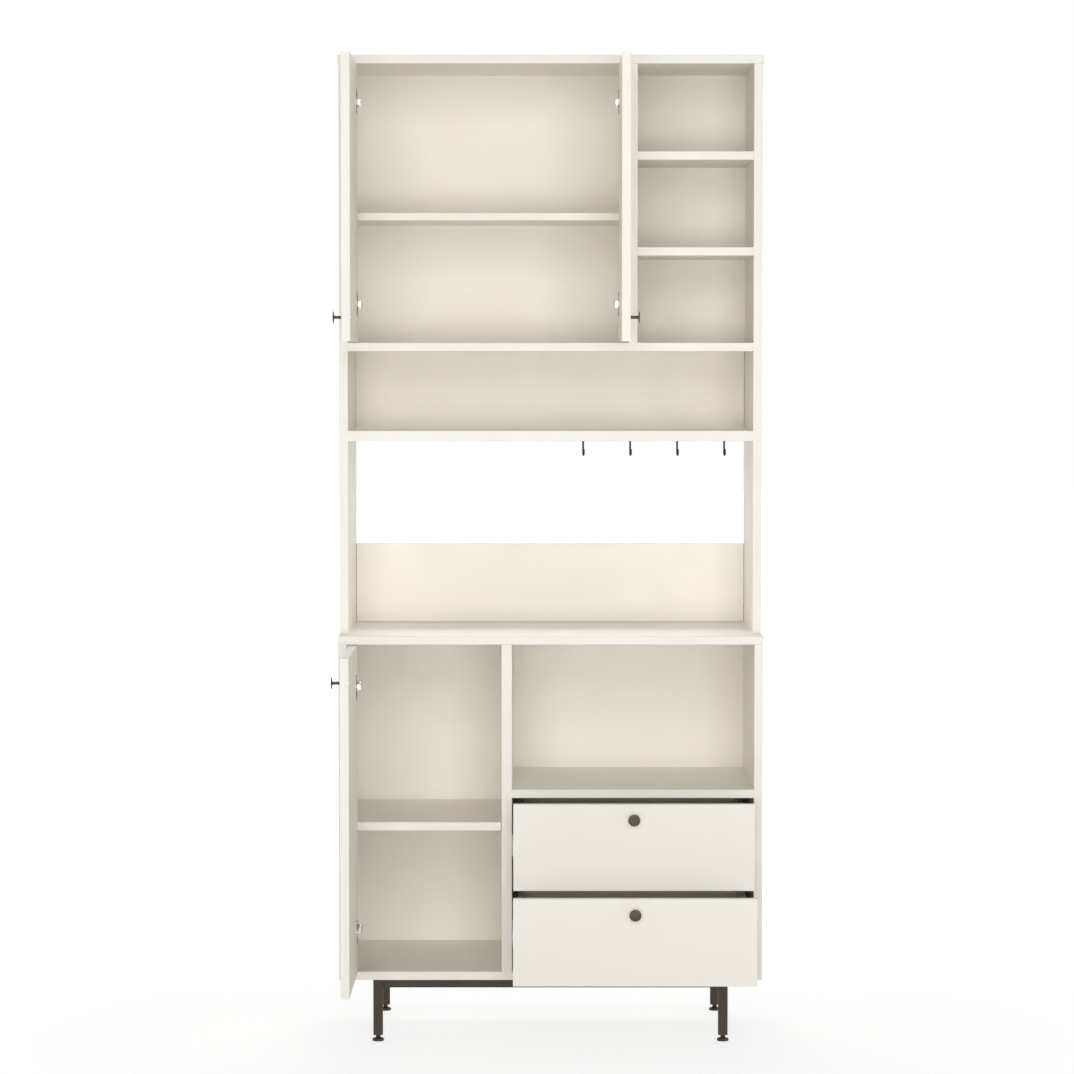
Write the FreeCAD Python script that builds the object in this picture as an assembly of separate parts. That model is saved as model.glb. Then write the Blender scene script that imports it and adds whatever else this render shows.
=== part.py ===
import FreeCAD, Part
import math
import os

from FreeCAD import Vector

os.makedirs("parts", exist_ok=True)

# Overall sizes of the cabinet, in millimetres
cabinet_width = 900.0
cabinet_height = 2100.0
base_depth = 400.0
hutch_depth = 330.0
leg_height = 136.0

# Boards
panel = 18.0
thick_panel = 22.0
adjustable_shelf_panel = 16.0
back_board = 16.0
back_sheet = 4.0
arris = 0.7
shadow_gap = 0.8

# Places of the boards
base_opening_height = 698.5
niche_height = 309.0
base_cupboard_width = 328.0
base_shelf_height = 299.0
splashback_height = 176.0
window_height = 235.0
plate_niche_height = 169.5
cupboard_width = 599.0
cupboard_shelf_height = 260.5
column_shelf_count = 2
hutch_back_setback = 4.0
base_back_setback = 2.0
shelf_end_clearance = 1.0
shelf_behind_door = 4.0
top_overhang = 2.0
worktop_side_overhang = 1.0
worktop_front_overhang = 4.0

# Doors, their swing and their concealed hinges
door_gap = 2.0
door_open_angle = 90.0
axis_in_from_wall = 3.5
axis_before_front = 0.5
cup_diameter = 35.0
cup_depth = 11.7
cup_wall = 1.0
cup_edge_distance = 22.0
cup_rim = 1.0
flange_thickness = 0.7
flange_height = 51.0
flange_width = 24.0
flange_offset = 4.8
cup_sides = 16
upper_hinge_inset = 80.0
base_hinge_inset = 87.0
hinge_arm_height = 15.6
hinge_arm_width = 8.0
hinge_arm_length = 54.0
link_height = 12.0
link_width = 7.5
link_reach = 38.5
link_pin_diameter = 4.0
link_side_play = 0.3
link_end_chamfer = 1.5
fork_play = 0.8
pin_play = 0.05
link_seat_gap = 0.3
link_pivot_behind_door = 6.5
plate_height = 50.0
plate_width = 18.0
plate_thickness = 2.5
plate_chamfer = 1.2
plate_behind_pivot = 35.0
saddle_height = 14.0
saddle_thickness = 3.0

# Knobs on the doors and the drawers
knob_diameter = 25.0
knob_disc = 5.0
knob_projection = 19.5
knob_edge = 1.6
knob_crown = 2.0
knob_stem_diameter = 8.0
knob_waist_diameter = 6.4
knob_screw_diameter = 4.0
knob_screw_depth = 9.0
knob_screw_head = 2.4
knob_screw_play = 0.2
knob_from_free_edge = 32.0
upper_knob_from_bottom = 49.0
base_knob_from_top = 52.0
drawer_knob_from_top = 31.5

# Drawers and their telescopic runners
drawer_count = 2
drawer_pulls = (183.0, 88.0)
drawer_side_gap = 3.5
drawer_names = ("lower_drawer", "upper_drawer")
drawer_side = 12.0
drawer_side_below_top = 30.75
drawer_side_lift = 12.0
drawer_box_length = 350.0
drawer_bottom = 4.0
bottom_groove_depth = 5.0
bottom_groove_lift = 10.0
groove_play = 0.2
runner_width = 12.7
runner_height = 45.7
runner_length = 350.0
runner_sheet = 1.2
runner_play = 0.3
runner_web_gap = 0.8
runner_setback = 4.0

# Leg frame and levelling feet
tube = 20.0
tube_wall = 1.5
leg_inset_side = 71.4
leg_inset_front = 20.0
leg_inset_back = 20.0
foot_height = 13.6
foot_diameter = 25.0
foot_disc = 5.5
foot_taper = 3.0
foot_neck_diameter = 11.0
foot_gap = 0.3
foot_stem_diameter = 8.0
foot_stem_length = 11.0
plug_length = 14.0
plug_play = 0.05

# Hooks under the hook shelf
hook_count = 4
hook_spacing = 101.0
hook_right_inset = 59.0
hook_wire = 3.2
hook_drop = 33.0
hook_radius = 6.5
hook_tip_rise = 6.0
hook_sides = 6
hook_collar_diameter = 8.0
hook_collar = 1.6
hook_screw_depth = 12.0
hook_behind_front = 60.0

# Small fittings
shelf_pin_diameter = 5.0
shelf_pin_depth = 8.0
shelf_pin_length = 16.0
shelf_pin_inset = 40.0
cam_diameter = 15.0
cam_depth = 12.5
cam_end_distance = 34.0
cam_edge_distance = 60.0
dowel_diameter = 8.0
dowel_length = 30.0
dowel_in_side = 12.0
dowel_edge_distance = 35.0
fitting_sides = 8
turned_sides = 24
wall_tie_hole_diameter = 3.0
wall_tie_hole_depth = 12.0
wall_tie_spacing = 600.0
wall_tie_from_back = 40.0

# Planes that the boards share
side_outer = cabinet_width / 2
side_inner = side_outer - panel
base_door_width = base_cupboard_width - 2 * door_gap
upper_door_width = (cupboard_width - 3 * door_gap) / 2
base_door_reach = axis_before_front + door_gap + base_door_width - axis_in_from_wall
y_wall = (base_depth + base_door_reach) / 2
y_base_front = y_wall - base_depth
y_hutch_front = y_wall - hutch_depth
y_base_back = y_wall - base_back_setback - back_sheet
y_hutch_back = y_wall - hutch_back_setback - back_board

z_floor = leg_height
z_floor_top = z_floor + panel
z_worktop = z_floor_top + base_opening_height
z_worktop_top = z_worktop + panel
z_niche_shelf_top = z_worktop - niche_height
z_niche_shelf = z_niche_shelf_top - panel
z_hook_shelf = z_worktop_top + splashback_height + window_height
z_hook_shelf_top = z_hook_shelf + thick_panel
z_cupboard_floor = z_hook_shelf_top + plate_niche_height
z_cupboard_floor_top = z_cupboard_floor + panel
z_top = cabinet_height - panel

x_base_divider = -side_inner + base_cupboard_width
x_drawers = x_base_divider + thick_panel
x_hutch_divider = -side_inner + cupboard_width
x_column = x_hutch_divider + panel
drawer_front_height = (z_niche_shelf - z_floor_top - (drawer_count + 1) * door_gap) / drawer_count
column_step = (z_top - z_cupboard_floor_top - column_shelf_count * panel) / (column_shelf_count + 1) + panel


def block(x0, x1, y0, y1, z0, z1):
    """Box between two corners."""
    return Part.makeBox(x1 - x0, y1 - y0, z1 - z0, Vector(x0, y0, z0))


def rod(diameter, length, start, direction):
    """Round bar from a start point along a direction."""
    return Part.makeCylinder(diameter / 2, length, start, direction)


def ring_of_points(diameter, sides):
    """Corners of a regular polygon round the Z axis."""
    turns = [2 * math.pi * (n + 0.5) / sides for n in range(sides)]
    return [Vector(diameter / 2 * math.cos(t), diameter / 2 * math.sin(t), 0) for t in turns]


def faceted_rod(diameter, length, start, direction, sides=fitting_sides):
    """Many-sided bar for small or let-in fittings, and for the holes that they fill."""
    corners = ring_of_points(diameter, sides)
    bar = Part.Face(Part.makePolygon(corners + corners[:1])).extrude(Vector(0, 0, length))
    bar.Placement = FreeCAD.Placement(start, FreeCAD.Rotation(Vector(0, 0, 1), direction))
    return bar


def eased(board, arris_size=arris):
    """Board with a fine chamfer round its front face."""
    front = board.BoundBox.YMin
    edges = [e for e in board.Edges if all(abs(v.Y - front) < 1e-6 for v in e.Vertexes)]
    return board.makeChamfer(arris_size, edges)


def turning(bands, seat, direction, sides):
    """Turned piece in flat facets, from (diameter, height) bands, stood at a seat along a direction."""
    rings = [[c + Vector(0, 0, height) for c in ring_of_points(size, sides)] for size, height in bands]
    bottom = rings[0][::-1]
    faces = [Part.Face(Part.makePolygon(ring + ring[:1])) for ring in (bottom, rings[-1])]
    for low, high in zip(rings, rings[1:]):
        for n in range(sides):
            corners = [low[n - 1], low[n], high[n], high[n - 1], low[n - 1]]
            faces.append(Part.Face(Part.makePolygon(corners)))
    solid = Part.makeSolid(Part.makeShell(faces))
    solid.Placement = FreeCAD.Placement(seat, FreeCAD.Rotation(Vector(0, 0, 1), direction))
    return solid


def write(node, *solids):
    """Write one node, a single solid or a group of separate ones."""
    shape = solids[0] if len(solids) == 1 else Part.makeCompound(list(solids))
    shape.exportStep("parts/" + node + ".step")


class DoorPlace:
    """Where a door hangs: u runs from the hinge wall into the opening, v runs out of the front."""

    def __init__(self, wall_x, inward, front_y, width, z0, z1, hinge_inset):
        self.wall_x = wall_x
        self.inward = inward
        self.front_y = front_y
        self.width = width
        self.z0 = z0
        self.z1 = z1
        self.hinge_heights = (z0 + hinge_inset, z1 - hinge_inset)

    def point(self, u, v, z):
        return Vector(self.wall_x + self.inward * u, self.front_y - v, z)

    def block(self, u0, u1, v0, v1, z0, z1):
        a = self.point(u0, v0, z0)
        b = self.point(u1, v1, z1)
        return block(min(a.x, b.x), max(a.x, b.x), min(a.y, b.y), max(a.y, b.y), z0, z1)

    def prism(self, points, z0, z1):
        corners = [self.point(u, v, z0) for u, v in points]
        return Part.Face(Part.makePolygon(corners + corners[:1])).extrude(Vector(0, 0, z1 - z0))

    def opened(self, shape):
        """Swing a closed shape to the open place about the door's axis."""
        turned_shape = shape.copy()
        axis = self.point(axis_in_from_wall, axis_before_front, 0)
        turned_shape.rotate(axis, Vector(0, 0, 1), -self.inward * door_open_angle)
        return turned_shape

    def out(self):
        return Vector(0, -1, 0)


upper_left = DoorPlace(
    -side_inner, 1, y_hutch_front, upper_door_width,
    z_cupboard_floor_top + door_gap, z_top - door_gap, upper_hinge_inset)
upper_right = DoorPlace(
    x_hutch_divider, -1, y_hutch_front, upper_door_width,
    z_cupboard_floor_top + door_gap, z_top - door_gap, upper_hinge_inset)
base_left = DoorPlace(
    -side_inner, 1, y_base_front, base_door_width,
    z_floor_top + door_gap, z_worktop - door_gap, base_hinge_inset)

# Hinge places shared by the wall, the arm, the link and the cup
cup_u = door_gap + cup_edge_distance
link_pivot_v = -panel - link_pivot_behind_door
door_inner_when_open = axis_in_from_wall + axis_before_front + panel
link_pivot_u = door_inner_when_open + flange_thickness + link_seat_gap + link_width / 2
arm_back_v = link_pivot_v - hinge_arm_length
plate_v = link_pivot_v - plate_behind_pivot
arm_u = plate_thickness + saddle_thickness
fork_slot = link_height / 2 + link_side_play
up = Vector(0, 0, 1)


def hinge_plates(place):
    """Winged mounting plates with the saddles that carry the arms."""
    solids = []
    for z in place.hinge_heights:
        wing = place.block(0, plate_thickness, plate_v - plate_width / 2, plate_v + plate_width / 2,
                           z - plate_height / 2, z + plate_height / 2)
        outer = place.point(plate_thickness, 0, 0).x
        rim = [e for e in wing.Edges if all(abs(v.X - outer) < 1e-6 for v in e.Vertexes)]
        saddle = place.block(plate_thickness, arm_u, arm_back_v, plate_v + plate_width,
                             z - saddle_height / 2, z + saddle_height / 2)
        solids.append(wing.makeChamfer(plate_chamfer, rim).fuse(saddle).removeSplitter())
    return solids


def hinge_arms(place):
    """Cranked arms that end in a fork with the link's pin."""
    solids = []
    w = hinge_arm_width
    pu = link_pivot_u
    pv = link_pivot_v
    bend_v = pv - 2 * w
    slot_start = link_width / 2 + fork_play
    for z in place.hinge_heights:
        z0 = z - hinge_arm_height / 2
        arm = place.prism([
            (arm_u, arm_back_v), (arm_u, bend_v), (pu - w / 2, pv - w / 4), (pu - w / 2, pv + w / 4),
            (pu - w / 4, pv + w / 2), (pu + w / 4, pv + w / 2), (pu + w / 2, pv + w / 4),
            (pu + w / 2, pv - w / 2), (arm_u + w, bend_v - w / 2), (arm_u + w, arm_back_v)],
            z0, z0 + hinge_arm_height)
        slot = place.block(pu - slot_start, pu + link_reach, pv - slot_start, pv + link_reach,
                           z - fork_slot, z + fork_slot)
        pin = rod(link_pin_diameter, hinge_arm_height, place.point(pu, pv, z0), up)
        solids.append(arm.cut(slot).fuse(pin).removeSplitter())
    return solids


def hinge_links(place):
    """Links between the arms and the cups, as they lie with the door open."""
    solids = []
    half = link_width / 2
    c = link_end_chamfer
    for z in place.hinge_heights:
        z0 = z - link_height / 2
        u = link_pivot_u
        v = link_pivot_v
        bar = place.prism([
            (u - half, v - half + c), (u - half + c, v - half), (u + half - c, v - half),
            (u + half, v - half + c), (u + half, v + link_reach - c), (u + half - c, v + link_reach),
            (u - half, v + link_reach)], z0, z0 + link_height)
        bore = rod(link_pin_diameter + 2 * pin_play, link_height, place.point(u, v, z0), up)
        solids.append(bar.cut(bore))
    return solids


def cup_hole(place, z):
    return faceted_rod(cup_diameter, cup_depth, place.point(cup_u, -panel, z), place.out(), cup_sides)


def hinge_cups(place):
    """Cups let into the door, each with its rim and its flange."""
    solids = []
    inward = -place.out()
    for z in place.hinge_heights:
        seat = place.point(cup_u, -panel, z)
        rim = faceted_rod(cup_diameter + 2 * cup_rim, flange_thickness, seat, inward, cup_sides)
        flange = place.block(cup_u - flange_width / 2, cup_u + flange_width / 2 + flange_offset,
                             -panel - flange_thickness, -panel,
                             z - flange_height / 2, z + flange_height / 2)
        hollow = faceted_rod(cup_diameter - 2 * cup_wall, cup_depth - cup_wall + flange_thickness,
                             seat + inward * flange_thickness, place.out(), cup_sides)
        solids.append(cup_hole(place, z).fuse([rim, flange]).cut(hollow).removeSplitter())
    return solids


def knob_solids(seat, out, board):
    """Lens-shaped knob on a board's face, with the screw that holds it from behind."""
    knob = turning([
        (knob_stem_diameter, 0), (knob_waist_diameter, knob_projection - knob_disc),
        (knob_diameter, knob_projection - knob_edge), (knob_diameter - 2 * knob_crown, knob_projection)],
        seat, out, turned_sides)
    knob = knob.cut(faceted_rod(knob_screw_diameter, knob_screw_depth, seat, out))
    back = seat - out * board
    shank = faceted_rod(knob_screw_diameter, board + knob_screw_depth, back, out)
    head = faceted_rod(2 * knob_screw_diameter, knob_screw_head, back, -out)
    return [knob, shank.fuse(head).removeSplitter()]


def knob_hole(seat, out, board):
    return faceted_rod(knob_screw_diameter + 2 * knob_screw_play, board, seat - out * board, out)


def door(place, knob_z):
    """Closed door panel, its knob and its hinge cups, all swung open."""
    leaf = eased(place.block(door_gap, door_gap + place.width, -panel, 0, place.z0, place.z1))
    seat = place.point(door_gap + place.width - knob_from_free_edge, 0, knob_z)
    leaf = leaf.cut([knob_hole(seat, place.out(), panel)])
    leaf = leaf.cut([cup_hole(place, z) for z in place.hinge_heights])
    knob = knob_solids(seat, place.out(), panel)
    return [[place.opened(s) for s in group] for group in ([leaf], hinge_cups(place), knob)]


def shelf_pin_solids(x_left, x_right, y_front, y_back, z_shelf):
    """Four pins that stand out of the two walls below a loose shelf."""
    z = z_shelf - shelf_pin_diameter / 2
    solids = []
    for y in (y_front + shelf_pin_inset, y_back - shelf_pin_inset):
        for x, inward in ((x_left, 1), (x_right, -1)):
            start = Vector(x - inward * shelf_pin_depth, y, z)
            solids.append(faceted_rod(shelf_pin_diameter, shelf_pin_length, start, Vector(inward, 0, 0)))
    return solids


def cam_points(x_left, x_right, y_front, y_back, z_under):
    return [Vector(x, y, z_under)
            for x in (x_left + cam_end_distance, x_right - cam_end_distance)
            for y in (y_front + cam_edge_distance, y_back - cam_edge_distance)]


def cam(point):
    """Cam lock let into the underside of a board; the same shape cuts its pocket."""
    return faceted_rod(cam_diameter, cam_depth, point, up)


# Sides, floor, divider, shelves, back and worktop of the base
z_base_shelf = z_floor_top + base_shelf_height
y_base_shelf = y_base_front + panel + shelf_behind_door
z_cupboard_shelf = z_cupboard_floor_top + cupboard_shelf_height
y_cupboard_shelf = y_hutch_front + panel + shelf_behind_door
base_pins = shelf_pin_solids(-side_inner, x_base_divider, y_base_shelf, y_base_back, z_base_shelf)
cupboard_pins = shelf_pin_solids(
    -side_inner, x_hutch_divider, y_cupboard_shelf, y_hutch_back, z_cupboard_shelf)
write("shelf_pins", *base_pins, *cupboard_pins)

base_side = eased(block(-side_outer, -side_inner, y_base_front, y_wall, z_floor, z_worktop))
write("base_side_left", base_side.cut(base_pins))
write("base_side_right", base_side.mirror(Vector(0, 0, 0), Vector(1, 0, 0)))

floor_cams = cam_points(-side_inner, side_inner, y_base_front, y_base_back, z_floor)
base_floor = eased(block(-side_inner, side_inner, y_base_front, y_wall, z_floor, z_floor_top))
write("base_floor", base_floor.cut([cam(p) for p in floor_cams]))

base_divider = eased(block(x_base_divider, x_drawers, y_base_front, y_base_back, z_floor_top, z_worktop))
write("base_divider", base_divider.cut(base_pins))

niche_cams = cam_points(x_drawers, side_inner, y_base_front, y_base_back, z_niche_shelf)
niche_shelf = eased(block(
    x_drawers, side_inner, y_base_front, y_base_back, z_niche_shelf, z_niche_shelf_top))
write("niche_shelf", niche_shelf.cut([cam(p) for p in niche_cams]))

write("base_shelf", eased(block(
    -side_inner + shelf_end_clearance, x_base_divider - shelf_end_clearance,
    y_base_shelf, y_base_back, z_base_shelf, z_base_shelf + panel)))
write("base_back", block(
    -side_inner, side_inner, y_base_back, y_base_back + back_sheet, z_floor_top, z_worktop))
worktop_reach = side_outer + worktop_side_overhang
write("worktop", eased(block(
    -worktop_reach, worktop_reach, y_base_front - worktop_front_overhang, y_wall,
    z_worktop, z_worktop_top)))

# Hutch: dowelled backs, sides, shelves and top
y_dowel = y_hutch_back + back_board / 2


def end_dowels(z0, z1):
    """Dowels that carry a back board in both sides."""
    start = side_inner + dowel_in_side
    return [faceted_rod(dowel_diameter, dowel_length, Vector(s * start, y_dowel, z), Vector(-s, 0, 0))
            for s in (-1, 1) for z in (z0 + dowel_edge_distance, z1 - dowel_edge_distance)]


def back_panel(z0, z1):
    """Back board with a thin shadow gap at its ends."""
    reach = side_inner - shadow_gap
    return block(-reach, reach, y_hutch_back, y_hutch_back + back_board, z0, z1)


z_splashback = z_worktop_top + shadow_gap
z_splashback_top = z_worktop_top + splashback_height
z_plate_back = z_hook_shelf_top + shadow_gap
splashback_dowels = end_dowels(z_splashback, z_splashback_top)
plate_back_dowels = end_dowels(z_plate_back, z_cupboard_floor)
write("dowels", *splashback_dowels, *plate_back_dowels)
write("splashback", eased(back_panel(z_splashback, z_splashback_top).cut(splashback_dowels)))
write("niche_back", back_panel(z_plate_back, z_cupboard_floor).cut(plate_back_dowels))
write("upper_back", block(
    -side_inner, side_inner, y_hutch_back, y_hutch_back + back_sheet, z_cupboard_floor_top, z_top))

hutch_side = eased(block(-side_outer, -side_inner, y_hutch_front, y_wall, z_worktop_top, z_top))
hutch_side = hutch_side.cut(splashback_dowels + plate_back_dowels)
write("hutch_side_left", hutch_side.cut(cupboard_pins))
write("hutch_side_right", hutch_side.mirror(Vector(0, 0, 0), Vector(1, 0, 0)))

hutch_divider = eased(block(
    x_hutch_divider, x_column, y_hutch_front, y_hutch_back, z_cupboard_floor_top, z_top))
write("hutch_divider", hutch_divider.cut(cupboard_pins))

cupboard_cams = cam_points(-side_inner, side_inner, y_hutch_front, y_hutch_back, z_cupboard_floor)
cupboard_floor = eased(block(
    -side_inner, side_inner, y_hutch_front, y_wall, z_cupboard_floor, z_cupboard_floor_top))
write("cupboard_floor", cupboard_floor.cut([cam(p) for p in cupboard_cams]))

write("cupboard_shelf", eased(block(
    -side_inner + shelf_end_clearance, x_hutch_divider - shelf_end_clearance,
    y_cupboard_shelf, y_hutch_back, z_cupboard_shelf, z_cupboard_shelf + adjustable_shelf_panel)))
for number, name in enumerate(("column_shelf_lower", "column_shelf_upper")):
    z_shelf = z_cupboard_floor_top + (number + 1) * column_step - panel
    write(name, eased(block(x_column, side_inner, y_hutch_front, y_hutch_back, z_shelf, z_shelf + panel)))

wall_tie_holes = [
    rod(wall_tie_hole_diameter, wall_tie_hole_depth,
        Vector(s * wall_tie_spacing / 2, y_wall - wall_tie_from_back, cabinet_height), Vector(0, 0, -1))
    for s in (-1, 1)]
top_reach = side_outer + top_overhang
top_panel = eased(block(-top_reach, top_reach, y_hutch_front - top_overhang, y_wall, z_top, cabinet_height))
write("top_panel", top_panel.cut(wall_tie_holes))

# Hook shelf and its wire hooks
hook_y = y_hutch_front + hook_behind_front
hook_xs = [side_inner - hook_right_inset - n * hook_spacing for n in range(hook_count)]


def hook_thread(x):
    """Screw of a hook, which is also the hole that takes it."""
    return faceted_rod(hook_wire, hook_screw_depth, Vector(x, hook_y, z_hook_shelf), up)


def hook(x):
    """J hook: screw, collar, straight shank, half-round bend to the front and a short tip."""
    z_bend = z_hook_shelf - hook_drop + hook_wire / 2 + hook_radius
    top = Vector(x, hook_y, z_hook_shelf)
    foot = Vector(x, hook_y, z_bend)
    low = Vector(x, hook_y - hook_radius, z_bend - hook_radius)
    front = Vector(x, hook_y - 2 * hook_radius, z_bend)
    tip = Vector(x, hook_y - 2 * hook_radius, z_bend + hook_tip_rise)
    path = Part.Wire([Part.LineSegment(top, foot).toShape(), Part.Arc(foot, low, front).toShape(),
                      Part.LineSegment(front, tip).toShape()])
    corners = [top + c for c in ring_of_points(hook_wire, hook_sides)]
    wire = path.makePipeShell([Part.makePolygon(corners + corners[:1])], True, False)
    collar = faceted_rod(hook_collar_diameter, hook_collar, top, -up)
    return wire.fuse([collar, hook_thread(x)]).removeSplitter()


hook_shelf_cams = cam_points(-side_inner, side_inner, y_hutch_front, y_hutch_back, z_hook_shelf)
hook_shelf = eased(block(-side_inner, side_inner, y_hutch_front, y_wall, z_hook_shelf, z_hook_shelf_top))
write("hook_shelf", hook_shelf.cut([hook_thread(x) for x in hook_xs] + [cam(p) for p in hook_shelf_cams]))
write("hooks", *[hook(x) for x in hook_xs])
write("cam_locks", *[cam(p) for p in floor_cams + niche_cams + cupboard_cams + hook_shelf_cams])

# Leg frame of square steel tube
leg_x = side_outer - leg_inset_side - tube
leg_y_front = y_base_front + leg_inset_front
leg_y_back = y_wall - leg_inset_back - tube


def square_tube(x0, x1, y0, y1, z0, z1, along):
    """Square tube with an open bore along one axis."""
    w = {a: (0 if a == along else tube_wall) for a in "xyz"}
    outer = block(x0, x1, y0, y1, z0, z1)
    return outer.cut(block(x0 + w["x"], x1 - w["x"], y0 + w["y"], y1 - w["y"], z0 + w["z"], z1 - w["z"]))


leg_places = {
    "front_left": (-leg_x - tube, leg_y_front), "front_right": (leg_x, leg_y_front),
    "rear_left": (-leg_x - tube, leg_y_back), "rear_right": (leg_x, leg_y_back)}
z_rail = z_floor - tube
legs = []
plugs = []
for corner, (x, y) in leg_places.items():
    legs.append(square_tube(x, x + tube, y, y + tube, foot_height, z_floor, "z"))
    middle = Vector(x + tube / 2, y + tube / 2, foot_height)
    plug = block(x + tube_wall, x + tube - tube_wall, y + tube_wall, y + tube - tube_wall,
                 foot_height, foot_height + plug_length)
    plugs.append(plug.cut(rod(foot_stem_diameter + 2 * plug_play, plug_length, middle, up)))
    z_neck = foot_height - foot_gap
    write("foot_" + corner, turning([
        (foot_diameter, 0), (foot_diameter, foot_disc), (foot_neck_diameter, foot_disc + foot_taper),
        (foot_neck_diameter, z_neck), (foot_stem_diameter, z_neck),
        (foot_stem_diameter, foot_height + foot_stem_length)],
        Vector(middle.x, middle.y, 0), up, turned_sides))
write("legs", *legs)
write("leg_plugs", *plugs)
write("frame_front_rail", square_tube(-leg_x, leg_x, leg_y_front, leg_y_front + tube, z_rail, z_floor, "x"))
write("frame_rear_rail", square_tube(-leg_x, leg_x, leg_y_back, leg_y_back + tube, z_rail, z_floor, "x"))
write("frame_side_rails", *[
    square_tube(x, x + tube, leg_y_front + tube, leg_y_back, z_rail, z_floor, "y")
    for x in (-leg_x - tube, leg_x)])

# Doors with their hinges
door_knob_heights = {
    "upper_left": upper_left.z0 + upper_knob_from_bottom,
    "upper_right": upper_right.z0 + upper_knob_from_bottom,
    "base": base_left.z1 - base_knob_from_top}
door_places = {"upper_left": upper_left, "upper_right": upper_right, "base": base_left}
plates = []
arms = []
for name, place in door_places.items():
    leaf, cups, knob = door(place, door_knob_heights[name])
    write(name + "_door", *leaf)
    write(name + "_hinge_cups", *cups)
    write(name + "_knob", *knob)
    write(name + "_hinge_links", *hinge_links(place))
    plates += hinge_plates(place)
    arms += hinge_arms(place)
write("hinge_plates", *plates)
write("hinge_arms", *arms)


# Drawers on telescopic runners
def channel(wall_x, inward, x0, x1, half_height, web_at_wall, z):
    """Runner member: a channel of folded sheet, x counted from the wall it hangs on."""
    web = (x0, x0 + runner_sheet) if web_at_wall else (x1 - runner_sheet, x1)
    spans = [web + (-half_height, half_height),
             (x0, x1, -half_height, -half_height + runner_sheet),
             (x0, x1, half_height - runner_sheet, half_height)]
    parts = []
    for a, b, low, high in spans:
        xa = wall_x + inward * a
        xb = wall_x + inward * b
        parts.append(block(min(xa, xb), max(xa, xb), y_runner, y_runner + runner_length, z + low, z + high))
    return parts[0].fuse(parts[1:]).removeSplitter()


half_outer = runner_height / 2
half_middle = half_outer - runner_sheet - runner_play
half_inner = half_middle - runner_sheet - runner_play
middle_start = runner_sheet + runner_web_gap
inner_start = middle_start + runner_sheet + runner_web_gap
middle_end = runner_width - runner_sheet - runner_web_gap
y_runner = y_base_front + panel + runner_setback
y_box = y_base_front + panel
box_left = x_drawers + runner_width
box_right = side_inner - runner_width
runner_walls = ((x_drawers, 1), (side_inner, -1))
cabinet_members = []
for number, name in enumerate(drawer_names):
    pull = Vector(0, -drawer_pulls[number], 0)
    z_front = z_floor_top + door_gap + number * (drawer_front_height + door_gap)
    z_side = z_front + drawer_side_lift
    z_side_top = z_front + drawer_front_height - drawer_side_below_top
    z_runner = (z_side + z_side_top) / 2
    z_groove = z_side + bottom_groove_lift
    y_groove = y_box + drawer_box_length - drawer_side + bottom_groove_depth
    groove = block(box_left + drawer_side - bottom_groove_depth,
                   box_right - drawer_side + bottom_groove_depth,
                   y_box - bottom_groove_depth, y_groove,
                   z_groove - groove_play / 2, z_groove + drawer_bottom + groove_play / 2)
    x_middle = (x_drawers + side_inner) / 2
    knob_seat = Vector(x_middle, y_base_front, z_front + drawer_front_height - drawer_knob_from_top)
    out = Vector(0, -1, 0)
    front = eased(block(x_drawers + drawer_side_gap, side_inner - drawer_side_gap, y_base_front, y_box,
                        z_front, z_front + drawer_front_height))
    front = front.cut([groove, knob_hole(knob_seat, out, panel)])
    box = [
        block(box_left, box_left + drawer_side, y_box, y_box + drawer_box_length, z_side, z_side_top),
        block(box_right - drawer_side, box_right, y_box, y_box + drawer_box_length, z_side, z_side_top),
        block(box_left + drawer_side, box_right - drawer_side, y_box + drawer_box_length - drawer_side,
              y_box + drawer_box_length, z_side, z_side_top)]
    box = [b.cut(groove) for b in box]
    bottom = block(groove.BoundBox.XMin + groove_play, groove.BoundBox.XMax - groove_play,
                   groove.BoundBox.YMin + groove_play, groove.BoundBox.YMax - groove_play,
                   z_groove, z_groove + drawer_bottom)
    middle_members = []
    drawer_members = []
    for wall_x, inward in runner_walls:
        cabinet_members.append(channel(wall_x, inward, 0, middle_end, half_outer, True, z_runner))
        middle_members.append(
            channel(wall_x, inward, middle_start, middle_end, half_middle, True, z_runner))
        drawer_members.append(
            channel(wall_x, inward, inner_start, runner_width, half_inner, False, z_runner))
    write(name + "_front", front.translated(pull))
    write(name + "_box", *[b.translated(pull) for b in box])
    write(name + "_bottom", bottom.translated(pull))
    write(name + "_knob", *[k.translated(pull) for k in knob_solids(knob_seat, out, panel)])
    write(name + "_runner_members", *[m.translated(pull) for m in drawer_members])
    write(name + "_middle_members", *[m.translated(pull / 2) for m in middle_members])
write("runner_cabinet_members", *cabinet_members)
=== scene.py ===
import math

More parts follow.
